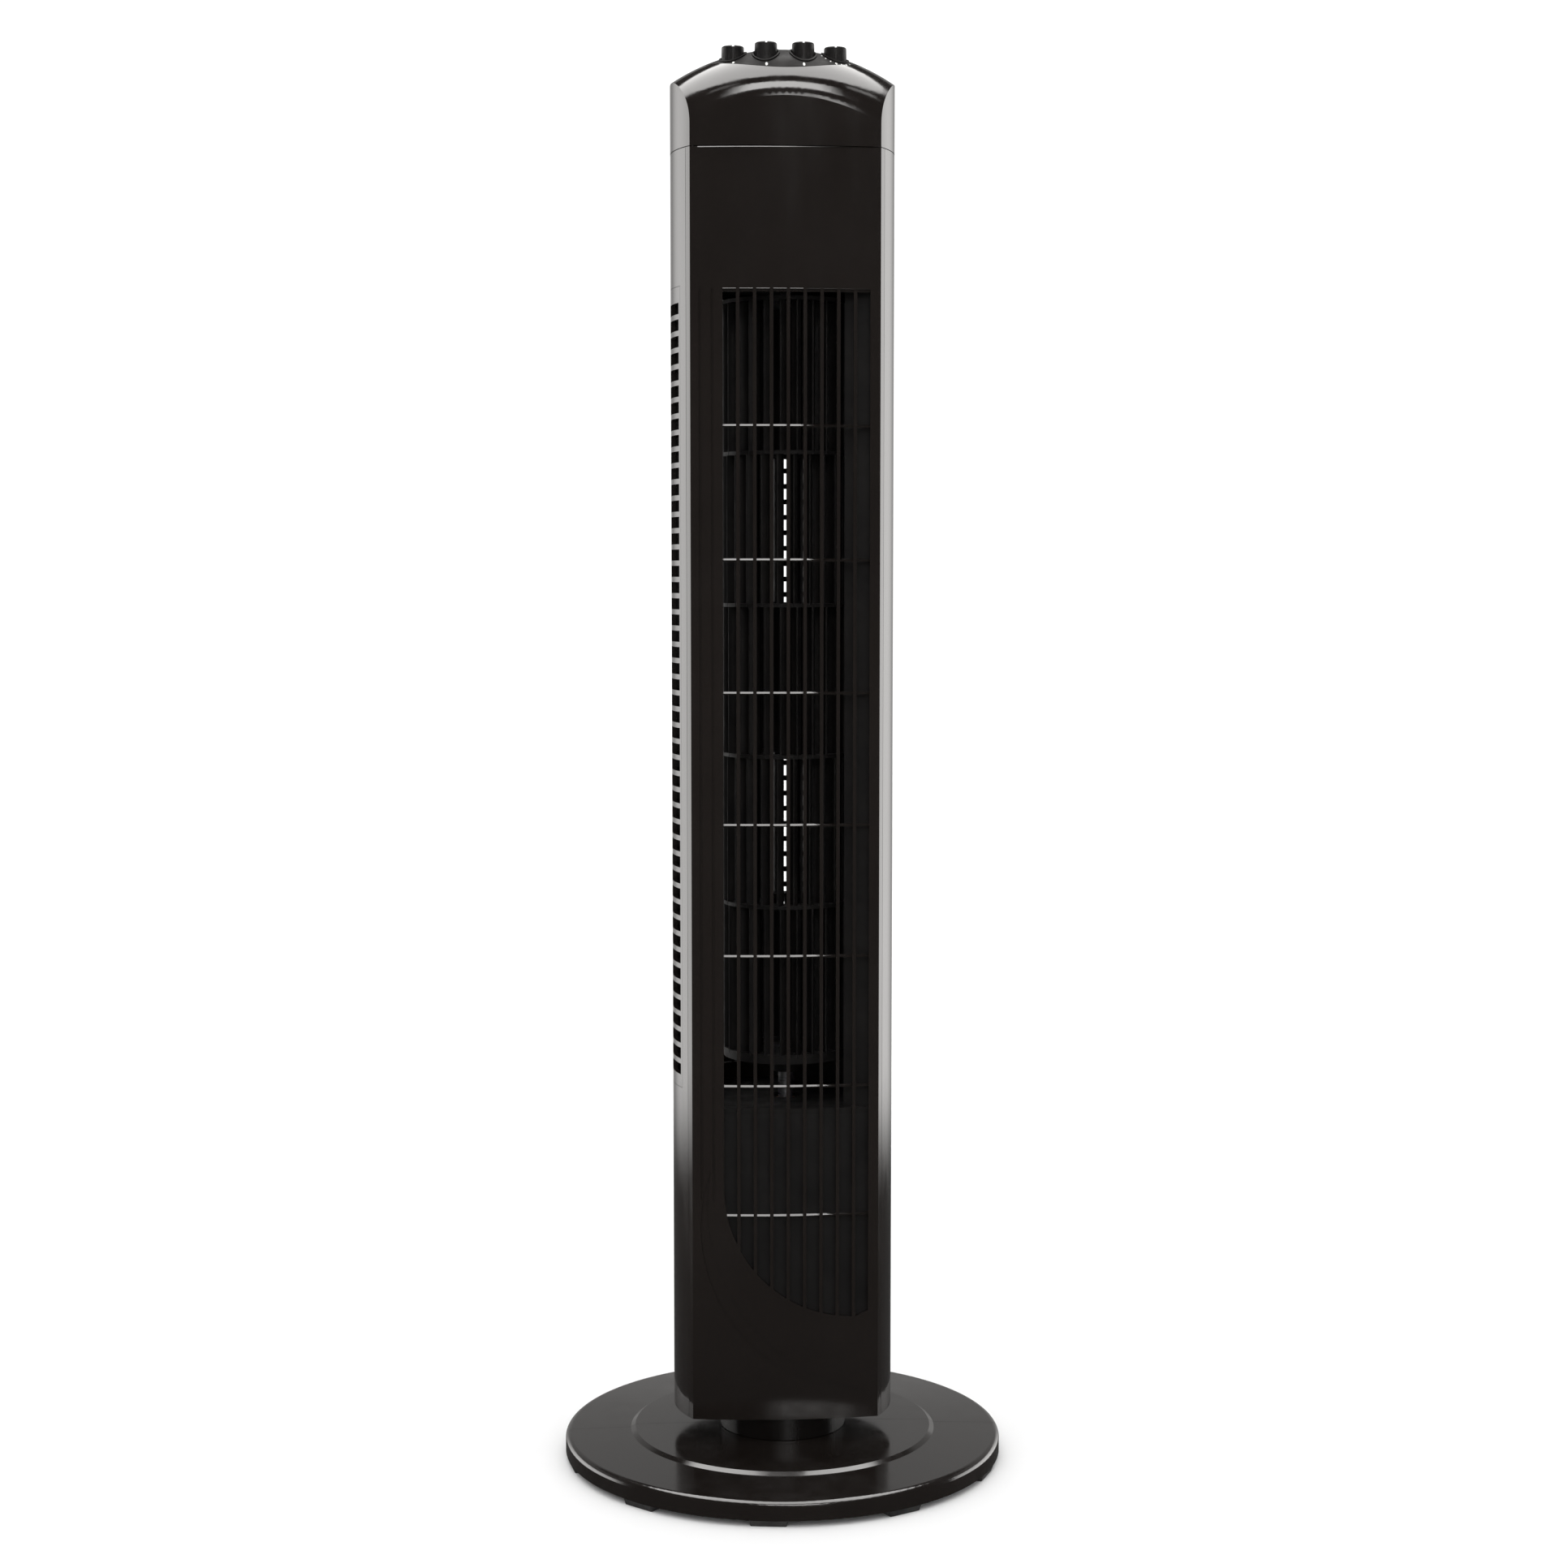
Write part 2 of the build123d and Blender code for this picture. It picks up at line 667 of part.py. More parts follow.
with BuildPart() as motor_rotor:
    with BuildSketch(Plane.XY.offset(stator_z[0])):
        with Locations(impeller_xy):
            Circle(rotor_r)
            Circle(motor_shaft_r, mode=Mode.SUBTRACT)
    extrude(amount=stator_z[1] - stator_z[0])
    # aluminium end rings
    for z, reach in ((stator_z[0], -5.0), (stator_z[1], 5.0)):
        with BuildSketch(Plane.XY.offset(z)):
            with Locations(impeller_xy):
                Circle(rotor_r - 1.2)
                Circle(rotor_r - 6.0, mode=Mode.SUBTRACT)
        extrude(amount=reach)
write(motor_rotor.part, "motor_rotor")

with BuildPart() as motor_stator:
    with BuildSketch(Plane.XY.offset(stator_z[0])):
        with Locations(impeller_xy):
            Circle(stator_r)
            Circle(rotor_r + air_gap, mode=Mode.SUBTRACT)
            with PolarLocations(rotor_r + 5.5, 16):
                SlotOverall(8.0, 3.2, mode=Mode.SUBTRACT)
            with PolarLocations(tie_r, 4, 45):
                Circle(1.9, mode=Mode.SUBTRACT)
    extrude(amount=stator_z[1] - stator_z[0])
write(motor_stator.part, "motor_stator")

with BuildPart() as motor_coils:
    for z, reach in ((stator_z[0], -15.0), (stator_z[1], 15.0)):
        with BuildSketch(Plane.XY.offset(z)):
            with Locations(impeller_xy):
                Circle(tie_r - 2.2)
                Circle(rotor_r + 1.5, mode=Mode.SUBTRACT)
        extrude(amount=reach)
    coil_ends = motor_coils.edges().filter_by(GeomType.CIRCLE).group_by(Axis.Z)
    fillet(coil_ends[0] + coil_ends[-1], radius=2.8)
write(motor_coils.part, "motor_coils")

bracket_specs = (
    ("lower", bracket_z[0], stator_z[0]),
    ("upper", bracket_z[1] + bracket_t, stator_z[1]),
)
for side, outer_z, stator_end in bracket_specs:
    inward = 1 if stator_end > outer_z else -1
    with BuildPart() as motor_bracket:
        with BuildSketch(Plane.XY.offset(outer_z)):
            with Locations(impeller_xy):
                Circle(stator_r)
        extrude(amount=inward * bracket_t)
        with BuildSketch(Plane.XY.offset(outer_z)):
            with Locations(impeller_xy):
                Circle(stator_r)
                Circle(stator_r - 1.6, mode=Mode.SUBTRACT)
                with PolarLocations(stator_r, 4):
                    Rectangle(14, 16, mode=Mode.SUBTRACT)
        extrude(amount=stator_end - outer_z)
        with BuildSketch(Plane.XY.offset(outer_z)):
            with Locations(impeller_xy):
                Circle(6.5)
                with PolarLocations(tie_r, 4, 45):
                    Circle(1.9)
        extrude(amount=inward * bracket_t, mode=Mode.SUBTRACT)
    write(motor_bracket.part, "motor_bracket_" + side)
    with BuildPart() as motor_bearing:
        with BuildSketch(Plane.XY.offset(outer_z - inward * 1.0)):
            with Locations(impeller_xy):
                Circle(6.4)
                Circle(motor_shaft_r + run_gap, mode=Mode.SUBTRACT)
        extrude(amount=inward * (bracket_t + 3.0))
    write(motor_bearing.part, "motor_bearing_" + side)

with BuildPart() as motor_screws:
    with BuildSketch(Plane.XY.offset(bracket_z[0] - 2.5)):
        with Locations(impeller_xy):
            with PolarLocations(tie_r, 4, 45):
                RegularPolygon(3.2, 6)
    extrude(amount=2.5)
    with BuildSketch(Plane.XY.offset(bracket_z[0])):
        with Locations(impeller_xy):
            with PolarLocations(tie_r, 4, 45):
                Circle(1.75)
    extrude(amount=bracket_z[1] + bracket_t - bracket_z[0])
write(motor_screws.part, "motor_screws")

with BuildPart() as capacitor:
    with Locations((-34.0, 30.0, 50.0)):
        Cylinder(9.0, 46.0, align=(Align.CENTER, Align.CENTER, Align.MIN))
    fillet(capacitor.edges().group_by(Axis.Z)[-1], radius=1.5)
    with Locations((-36.5, 30.0, 96.0), (-31.5, 30.0, 96.0)):
        Box(0.8, 4.8, 7.0, align=(Align.CENTER, Align.CENTER, Align.MIN))
write(capacitor.part, "capacitor")

terminal_z = 50.0
with BuildPart() as terminal_block:
    with Locations((29.0, 27.0, terminal_z)):
        Box(26.0, 12.0, 15.0, align=(Align.CENTER, Align.CENTER, Align.MIN))
    with BuildSketch(Plane.XY.offset(terminal_z + 15.0)):
        with Locations((29.0, 27.0)):
            with GridLocations(8.0, 1.0, 3, 1):
                Circle(2.2)
    extrude(amount=-9.0, mode=Mode.SUBTRACT)
    with BuildSketch(Plane.XY.offset(terminal_z + 15.0)):
        with Locations((25.0, 27.0), (33.0, 27.0)):
            Rectangle(1.0, 12.0)
    extrude(amount=-11.0, mode=Mode.SUBTRACT)
write(terminal_block.part, "terminal_block")

# ---- cap ----
cap_z0 = seam_z + cap_gap
post_xy = ((-37.5, 3.0), (37.5, 3.0), (-37.5, -10.0), (37.5, -10.0))
post_z = switch_top_z + 2.0
post_h = 8.7
switch_bush_r = 4.2
knob_z0 = cup_floor_z + 2.0 + 0.4
knob_taper = 1.6
flute_count = 22


def cap_form(inset):
    """Solid of the cap's outer skin, inset all round and open at the seam."""
    apex = cap_apex_z - inset
    arch = cap_arch_r - inset
    half = 70.0
    front = front_y + inset
    back = column_r - inset
    side_z = apex - arch + sqrt(arch**2 - half**2)
    with BuildPart() as form:
        with BuildSketch(Plane.XZ.offset(-back)):
            with BuildLine():
                Line((-half, cap_z0), (half, cap_z0))
                Line((half, cap_z0), (half, side_z))
                RadiusArc((half, side_z), (-half, side_z), -arch)
                Line((-half, side_z), (-half, cap_z0))
            make_face()
        extrude(amount=back - front)
        with BuildSketch(Plane.XY.offset(cap_z0)):
            with Locations(front_centre):
                Circle(front_r - inset)
        extrude(amount=100, mode=Mode.INTERSECT)
        long_edges = form.edges().filter_by(lambda e: e.length > 1.8 * half)
        long_edges = long_edges.filter_by(lambda e: e.center().Z > side_z)
        fillet(long_edges, radius=cap_round_r - inset)
        with BuildSketch(Plane.XY.offset(cap_z0)):
            Circle(column_r - inset)
        extrude(amount=100, mode=Mode.INTERSECT)
    return form.part


cap_outer = cap_form(0.0)
cap_inner = cap_form(cap_t)

with BuildPart() as top_cap:
    add(cap_outer)
    add(cap_inner, mode=Mode.SUBTRACT)
    with BuildSketch(Plane.XY.offset(cap_z0 + 20)):
        Ellipse(panel_oval[0], panel_oval[1])
    extrude(amount=60, mode=Mode.SUBTRACT)
    # lip that drops inside the column shells
    extrude(column_section(lip_inset + 0.3, seam_z - lip_h), amount=lip_h + cap_gap + 3.0)
    extrude(column_section(cap_t - 0.2, cap_z0), amount=3.0)
    extrude(
        column_section(lip_inset + 2.4, seam_z - lip_h),
        amount=lip_h + cap_gap + 3.0,
        mode=Mode.SUBTRACT,
    )
    with BuildSketch(Plane.XZ.offset(-40)):
        with Locations((-housing_screw_x, housing_screw_z[1]), (housing_screw_x, housing_screw_z[1])):
            Circle(1.55)
    extrude(amount=-30, mode=Mode.SUBTRACT)
write(top_cap.part, "top_cap")

with BuildPart() as control_panel:
    with BuildSketch(Plane.XY.offset(cap_z0 + 20)):
        Ellipse(panel_oval[0] - part_gap, panel_oval[1] - part_gap)
    extrude(amount=60)
    add(cap_outer, mode=Mode.INTERSECT)
    add(cap_inner, mode=Mode.SUBTRACT)
    # a cup for each knob, its collar standing proud of the dome
    with BuildSketch(Plane.XY.offset(cup_floor_z)):
        for name, x, y, top_z in knobs:
            with Locations((x, y)):
                Circle(cup_out_r)
    extrude(amount=25)
    add(cap_form(-cup_rise), mode=Mode.INTERSECT)
    with BuildSketch(Plane.XY.offset(cup_floor_z + 2.0)):
        for name, x, y, top_z in knobs:
            with Locations((x, y)):
                Circle(cup_in_r)
    extrude(amount=25, mode=Mode.SUBTRACT)
    with BuildSketch(Plane.XY.offset(cup_floor_z)):
        for name, x, y, top_z in knobs:
            with Locations((x, y)):
                Circle(shaft_r + 0.4)
    extrude(amount=5, mode=Mode.SUBTRACT)
    # posts for the screws of the switch plate
    with BuildSketch(Plane.XY.offset(post_z)):
        with Locations(*post_xy):
            Circle(3.0)
    extrude(amount=post_h)
    with BuildSketch(Plane.XY.offset(post_z)):
        with Locations(*post_xy):
            Circle(1.1)
    extrude(amount=post_h - 3.5, mode=Mode.SUBTRACT)
write(control_panel.part, "control_panel")

with BuildPart() as switch_plate:
    with BuildSketch(Plane.XY.offset(switch_top_z)):
        with Locations((0, -8.0)):
            RectangleRounded(80.0, 28.0, 4.0)
        with Locations((0, -24.0)):
            RectangleRounded(34.0, 12.0, 2.0)
        for name, x, y, top_z in knobs:
            with Locations((x, y)):
                Circle(switch_bush_r + 0.1, mode=Mode.SUBTRACT)
        with Locations(*post_xy):
            Circle(1.3, mode=Mode.SUBTRACT)
    extrude(amount=post_z - switch_top_z)
write(switch_plate.part, "switch_plate")

with BuildPart() as panel_screws:
    with BuildSketch(Plane.XY.offset(switch_top_z)):
        with Locations(*post_xy):
            Circle(2.0)
    extrude(amount=-1.6)
    with BuildSketch(Plane.XY.offset(switch_top_z)):
        with Locations(*post_xy):
            Circle(1.0)
    extrude(amount=5.5)
write(panel_screws.part, "panel_screws")

# ---- switches, knobs and their shafts ----
switch_w = 15.6
shaft_foot_z = switch_top_z - 7.0
for name, x, y, top_z in knobs:
    depth = 22.0 if name == "timer" else switch_w
    height = 19.0 if name == "timer" else 14.0
    with BuildPart() as switch_body:
        with Locations((x, y + (depth - switch_w) / 2, switch_top_z)):
            Box(switch_w, depth, height, align=(Align.CENTER, Align.CENTER, Align.MAX))
        fillet(switch_body.edges().filter_by(Axis.Z), radius=1.2)
        with BuildSketch(Plane.XY.offset(switch_top_z)):
            with Locations((x, y)):
                Circle(switch_bush_r)
        extrude(amount=cup_floor_z - switch_top_z - 0.2)
        with BuildSketch(Plane.XY.offset(shaft_foot_z - 0.3)):
            with Locations((x, y)):
                Circle(shaft_r + run_gap)
        extrude(amount=20, mode=Mode.SUBTRACT)
        with BuildSketch(Plane.XY.offset(switch_top_z - height)):
            with Locations((x, y)):
                with GridLocations(4.6, 1.0, 3, 1):
                    Rectangle(0.8, 3.0)
        extrude(amount=-6.0)
    write(switch_body.part, "switch_" + name)

    with BuildPart() as shaft:
        with BuildSketch(Plane.XY.offset(shaft_foot_z)):
            with Locations((x, y)):
                Circle(shaft_r)
        extrude(amount=knob_z0 + 6.5 - shaft_foot_z)
        # flat that drives the knob
        with BuildSketch(Plane.XY.offset(knob_z0)):
            with Locations((x, y + shaft_r)):
                Rectangle(2 * shaft_r, 2.0)
        extrude(amount=10, mode=Mode.SUBTRACT)
    write(shaft.part, "shaft_" + name)

    with BuildPart() as knob:
        with BuildSketch(Plane.XY.offset(knob_z0)):
            with Locations((x, y)):
                Circle(knob_r)
        extrude(amount=top_z - knob_z0, taper=knob_taper)
        fillet(knob.edges().group_by(Axis.Z)[-1], radius=0.9)
        # grip flutes round the upper part
        with BuildSketch(Plane.XY.offset(top_z - 7.5)):
            with Locations((x, y)):
                with PolarLocations(knob_r + 0.1, flute_count):
                    Circle(0.42)
        extrude(amount=10, mode=Mode.SUBTRACT)
        # pointer slot across the top, towards the front
        with BuildSketch(Plane.XY.offset(top_z - 0.8)):
            with Locations((x, y - knob_r / 2 - 0.6)):
                Rectangle(1.2, knob_r)
        extrude(amount=5, mode=Mode.SUBTRACT)
        with BuildSketch(Plane.XY.offset(knob_z0)):
            with Locations((x, y)):
                Circle(shaft_r + 0.02)
            with Locations((x, y + shaft_r)):
                Rectangle(2 * shaft_r + 1, 1.96, mode=Mode.SUBTRACT)
        extrude(amount=6.6, mode=Mode.SUBTRACT)
    write(knob.part, "knob_" + name)
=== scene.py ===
"""Looks of the black tower fan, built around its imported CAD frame. Metres, +Z up, front faces -Y."""
import json
import math

import bmesh
import bpy
from mathutils import Matrix, Vector
from mathutils.bvhtree import BVHTree


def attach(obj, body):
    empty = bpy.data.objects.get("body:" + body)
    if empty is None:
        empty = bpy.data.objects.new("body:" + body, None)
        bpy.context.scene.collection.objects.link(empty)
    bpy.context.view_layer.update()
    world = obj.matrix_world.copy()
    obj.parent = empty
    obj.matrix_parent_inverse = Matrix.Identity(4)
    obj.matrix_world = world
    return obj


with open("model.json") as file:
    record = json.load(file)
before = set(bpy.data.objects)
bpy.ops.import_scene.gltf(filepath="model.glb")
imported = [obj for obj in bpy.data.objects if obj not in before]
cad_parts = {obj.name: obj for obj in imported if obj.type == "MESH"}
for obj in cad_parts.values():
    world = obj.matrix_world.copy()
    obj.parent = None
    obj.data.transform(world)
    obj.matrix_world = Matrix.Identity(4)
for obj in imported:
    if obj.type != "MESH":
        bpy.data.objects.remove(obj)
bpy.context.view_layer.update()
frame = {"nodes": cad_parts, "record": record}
nodes = frame["nodes"]
MM = 0.001

# ---- camera: the photograph's viewing angle ----
CAMERA_REACH = 1.4186
CAMERA_HEIGHT = 0.4866
CAMERA_TURN = math.radians(3.0)
CAMERA_PITCH = math.radians(4.637)
LENS_MM = 59.94


def make_camera():
    """A camera a little to the left of the fan's front, level with its middle."""
    data = bpy.data.cameras.new("camera")
    data.lens = LENS_MM
    data.sensor_width = 36.0
    camera = bpy.data.objects.new("camera", data)
    camera.location = (
        -CAMERA_REACH * math.sin(CAMERA_TURN) + 0.0009,
        -CAMERA_REACH * math.cos(CAMERA_TURN),
        CAMERA_HEIGHT,
    )
    camera.rotation_euler = (math.pi / 2 - CAMERA_PITCH, 0.0, -CAMERA_TURN)
    bpy.context.scene.collection.objects.link(camera)
    bpy.context.scene.camera = camera


# ---- materials ----
RANGE_SOCKETS = ("From Min", "From Max", "To Min", "To Max")


class Shader:
    """A Principled material with a few helpers to wire procedural detail into it."""

    def __init__(self, name):
        self.material = bpy.data.materials.new(name)
        self.material.use_nodes = True
        self.tree = self.material.node_tree
        self.principled = self.tree.nodes["Principled BSDF"]
        self.coords = self.add("ShaderNodeTexCoord").outputs["Object"]

    def add(self, kind, **settings):
        node = self.tree.nodes.new(kind)
        for key, value in settings.items():
            setattr(node, key, value)
        return node

    def link(self, source, target):
        self.tree.links.new(source, target)

    def set(self, **values):
        for key, value in values.items():
            self.principled.inputs[key.replace("_", " ")].default_value = value

    def noise(self, scale, detail=3.0, roughness=0.5, stretch=(1.0, 1.0, 1.0)):
        """A noise pattern in the object's own metres; scale is its repeats per metre."""
        mapping = self.add("ShaderNodeMapping")
        mapping.inputs["Scale"].default_value = stretch
        self.link(self.coords, mapping.inputs["Vector"])
        noise = self.add("ShaderNodeTexNoise")
        noise.inputs["Scale"].default_value = scale
        noise.inputs["Detail"].default_value = detail
        noise.inputs["Roughness"].default_value = roughness
        self.link(mapping.outputs["Vector"], noise.inputs["Vector"])
        return noise.outputs["Fac"]

    def cells(self, scale):
        """Cell pattern, as of a spark-eroded mould."""
        cells = self.add("ShaderNodeTexVoronoi")
        cells.inputs["Scale"].default_value = scale
        self.link(self.coords, cells.inputs["Vector"])
        return cells.outputs["Distance"]

    def remap(self, value, low, high, to_low, to_high):
        node = self.add("ShaderNodeMapRange")
        for name, number in zip(RANGE_SOCKETS, (low, high, to_low, to_high)):
            node.inputs[name].default_value = number
        self.link(value, node.inputs["Value"])
        return node.outputs["Result"]

    def ramp_colour(self, value, dark, light, low=0.35, high=0.65):
        ramp = self.add("ShaderNodeValToRGB")
        ramp.color_ramp.elements[0].position = low
        ramp.color_ramp.elements[0].color = (*dark, 1)
        ramp.color_ramp.elements[1].position = high
        ramp.color_ramp.elements[1].color = (*light, 1)
        self.link(value, ramp.inputs["Fac"])
        self.link(ramp.outputs["Color"], self.principled.inputs["Base Color"])

    def roughen(self, value):
        self.link(value, self.principled.inputs["Roughness"])

    def bump(self, *layers):
        """Stack bump layers, each (height, strength, depth in metres)."""
        normal = None
        for height, strength, depth in layers:
            bump = self.add("ShaderNodeBump")
            bump.inputs["Strength"].default_value = strength
            bump.inputs["Distance"].default_value = depth
            self.link(height, bump.inputs["Height"])
            if normal is not None:
                self.link(normal, bump.inputs["Normal"])
            normal = bump.outputs["Normal"]
        self.link(normal, self.principled.inputs["Normal"])


def shade(colour, tone):
    """A colour made darker or lighter by one factor."""
    return tuple(tone * channel for channel in colour)


def gloss_black(name, tone=1.0, rough=0.09, peel=0.10):
    """Polished injection-moulded ABS: faint orange peel, dust haze and fine hairline wear."""
    shader = Shader(name)
    haze = shader.noise(14.0, detail=5.0, roughness=0.6)
    shader.ramp_colour(haze, shade((0.0085, 0.0066, 0.0057), tone), shade((0.0105, 0.0083, 0.0072), tone))
    scuffs = shader.noise(60.0, detail=6.0, roughness=0.65, stretch=(1.0, 1.0, 0.18))
    shader.roughen(shader.remap(scuffs, 0.35, 0.75, rough * 0.75, rough * 1.8))
    peel_wave = shader.noise(230.0, detail=2.0)
    sink = shader.noise(9.0, detail=1.0)
    shader.bump((sink, 0.05, 0.0008), (peel_wave, peel, 0.00003))
    shader.set(IOR=1.52, Specular_IOR_Level=0.5)
    return shader.material


def satin_black(name, tone=1.0, rough=0.42, grain=900.0, depth=0.00008, sheen=0.5):
    """Spark-eroded black plastic: fine grain, small differences in sheen."""
    shader = Shader(name)
    cloud = shader.noise(40.0, detail=4.0)
    shader.ramp_colour(cloud, shade((0.010, 0.009, 0.009), tone), shade((0.018, 0.016, 0.015), tone))
    shader.roughen(shader.remap(shader.noise(120.0, detail=5.0), 0.3, 0.7, rough - 0.06, rough + 0.12))
    shader.bump((shader.cells(grain), 0.35, depth), (shader.noise(18.0, detail=1.0), 0.1, 0.0006))
    shader.set(Specular_IOR_Level=sheen)
    return shader.material


def rubber_black(name):
    """Soft rubber with a dusty bloom."""
    shader = Shader(name)
    shader.ramp_colour(shader.noise(90.0, detail=6.0), (0.012, 0.012, 0.012), (0.030, 0.029, 0.028))
    shader.roughen(shader.remap(shader.noise(300.0), 0.3, 0.7, 0.62, 0.86))
    shader.bump((shader.cells(1400.0), 0.3, 0.00008))
    return shader.material


def white_plastic(name, colour=(0.72, 0.71, 0.66)):
    """Off-white technical plastic with slight yellowing and mould texture."""
    shader = Shader(name)
    shader.ramp_colour(shader.noise(50.0, detail=4.0), shade(colour, 0.86), colour)
    shader.roughen(shader.remap(shader.noise(200.0), 0.3, 0.7, 0.34, 0.5))
    shader.bump((shader.noise(800.0, detail=2.0), 0.15, 0.00006))
    return shader.material


def metal(name, colour, rough=0.32, streak=(1.0, 1.0, 18.0), scale=90.0):
    """Turned or plated metal with drawn streaks and stains."""
    shader = Shader(name)
    shader.set(Metallic=1.0)
    shader.ramp_colour(shader.noise(35.0, detail=5.0), shade(colour, 0.72), colour)
    lines = shader.noise(scale, detail=4.0, stretch=streak)
    shader.roughen(shader.remap(lines, 0.3, 0.7, rough * 0.7, rough * 1.4))
    shader.bump((lines, 0.2, 0.00005))
    return shader.material


def laminations(name):
    """Stacked electrical steel sheets, half a millimetre each."""
    shader = Shader(name)
    shader.set(Metallic=0.9)
    wave = shader.add("ShaderNodeTexWave", wave_type="BANDS", bands_direction="Z")
    wave.inputs["Scale"].default_value = 320.0
    wave.inputs["Distortion"].default_value = 0.3
    shader.link(shader.coords, wave.inputs["Vector"])
    shader.ramp_colour(wave.outputs["Fac"], (0.10, 0.10, 0.11), (0.26, 0.26, 0.28), 0.3, 0.7)
    shader.roughen(shader.remap(shader.noise(150.0), 0.3, 0.7, 0.38, 0.6))
    shader.bump((wave.outputs["Fac"], 0.5, 0.0001))
    return shader.material


def winding(name):
    """Enamelled copper wire, laid in fine turns round the motor."""
    shader = Shader(name)
    shader.set(Metallic=0.85)
    wave = shader.add("ShaderNodeTexWave", wave_type="RINGS", rings_direction="Z")
    wave.inputs["Scale"].default_value = 260.0
    wave.inputs["Distortion"].default_value = 2.0
    shader.link(shader.coords, wave.inputs["Vector"])
    shader.ramp_colour(wave.outputs["Fac"], (0.22, 0.06, 0.015), (0.62, 0.24, 0.07), 0.2, 0.8)
    shader.roughen(shader.remap(shader.noise(220.0), 0.3, 0.7, 0.22, 0.4))
    shader.bump((wave.outputs["Fac"], 0.6, 0.0002))
    return shader.material


def print_white(name):
    """Pad-printed white ink, a little worn."""
    shader = Shader(name)
    wear = shader.noise(2500.0, detail=4.0)
    shader.ramp_colour(wear, (0.62, 0.62, 0.60), (0.86, 0.86, 0.84), 0.3, 0.5)
    shader.roughen(shader.remap(shader.noise(900.0), 0.3, 0.7, 0.4, 0.6))
    shader.bump((shader.noise(3000.0), 0.2, 0.00003))
    return shader.material


EVEN = (1.0, 1.0, 1.0)
SLOT_MATERIALS = {
    "housing_black": gloss_black("housing gloss"),
    "base_black": gloss_black("base gloss", tone=0.9, rough=0.12, peel=0.14),
    "knob_black": satin_black("knob satin", tone=0.6, rough=0.42, sheen=0.25),
    "foot_rubber": rubber_black("foot rubber"),
    # inner plastic and impeller: black plastic, their tone lowered below the housing's as painted shade
    # for the dim inside of the fan
    "inner_plastic": satin_black("inner plastic with painted shade", tone=0.45, rough=0.6, sheen=0.2),
    "impeller_plastic": satin_black("impeller plastic with painted shade", tone=0.45, rough=0.55, sheen=0.2),
    # bearing ring: black gloss, its tone lowered as painted shade for the dark gap under the column
    "slip_black": gloss_black("bearing gloss with painted shade", tone=0.35, rough=0.2),
    "slip_white": white_plastic("acetal"),
    "steel": metal("zinc plate", (0.62, 0.62, 0.64)),
    "zinc": metal("galvanised sheet", (0.46, 0.47, 0.49), rough=0.42, streak=EVEN, scale=40.0),
    "core_steel": laminations("laminations"),
    "bronze": metal("sintered bronze", (0.60, 0.40, 0.18), rough=0.45, streak=EVEN, scale=500.0),
    "winding": winding("winding"),
    "part_white": white_plastic("component plastic", (0.66, 0.64, 0.58)),
}
NODE_MATERIALS = {
    "housing_screws": metal("blackened screw", (0.05, 0.05, 0.05), rough=0.4),
    "control_panel": satin_black(
        "control panel satin", tone=0.4, rough=0.5, grain=1500.0, depth=0.00004, sheen=0.08
    ),
    # motor cover: black plastic, its tone lowered as painted shade for the dim inside of the fan
    "motor_cover": satin_black("motor cover satin with painted shade", tone=0.35, rough=0.55, sheen=0.25),
    # neck: black gloss, its tone lowered as painted shade for the dark gap under the column
    "turntable": gloss_black("neck gloss with painted shade", tone=0.35, rough=0.2),
}
PRINT = print_white("printed marks")


def dress_cad_nodes():
    """Give every CAD node the procedural material of its slot."""
    for entry in frame["record"]["subparts"]:
        node = nodes[entry["node"]]
        material = NODE_MATERIALS.get(entry["node"], SLOT_MATERIALS[entry["material_slot"]])
        node.data.materials.clear()
        node.data.materials.append(material)
        for polygon in node.data.polygons:
            polygon.material_index = 0


# ---- surfaces the added pieces follow, in millimetres of the part ----
FRONT_Y = -36.7
FRONT_R = 333.5
SEAM_Z = 708.0
FIELD_X = (-33.15, 44.6)
FIELD_TOP_Z = 634.6
BAR_PITCH = 70.4
BAR_COUNT = 8
BAR_INSET = 1.6
SLAT_COUNT = 8
SLAT_FIRST_X = -25.25
SLAT_W = 1.9
SLOT_PITCH = 8.85
SWEEP_CENTRE = (38.0, 156.0)
SWEEP_R = 71.0
KNOBS = {
    "oscillation": (-27.0, -17.0),
    "speed": (-9.8, -22.0),
    "mode": (9.8, -22.0),
    "timer": (27.0, -17.0),
}
MARK_REACH = 8.5        # printed marks stand this far from a knob's axis
INK_LIFT = 0.06         # printed marks lie this far above the surface
SEAM_X = 46.0           # the body's top edge is bevelled between these
LIP_PROUD = 0.35        # the seam's lip stands this far out of the skin
SILL_PROUD = 0.3
BRIGHT_SIDE_X = 5.0     # to the right of this the sill's bevel is lower, so it glints less


def front_skin_y(x, inset=0.0):
    """Y of the convex front face at x."""
    return FRONT_Y + FRONT_R - math.sqrt((FRONT_R - inset) ** 2 - x**2)


def cap_surface():
    """A lookup of the cap's height at a point, over the control panel and the cap."""
    trees = []
    for name in ("control_panel", "top_cap"):
        mesh = nodes[name].data
        corners = [vertex.co.copy() for vertex in mesh.vertices]
        trees.append(BVHTree.FromPolygons(corners, [polygon.vertices for polygon in mesh.polygons]))

    def height(x, y):
        hits = [tree.ray_cast(Vector((x * MM, y * MM, 1.0)), Vector((0, 0, -1)))[0] for tree in trees]
        tops = [hit.z / MM for hit in hits if hit is not None]
        # over the gap between panel and cap, the height a little further in serves
        return max(tops) if tops else height(x * 0.99, y * 0.99)

    return height


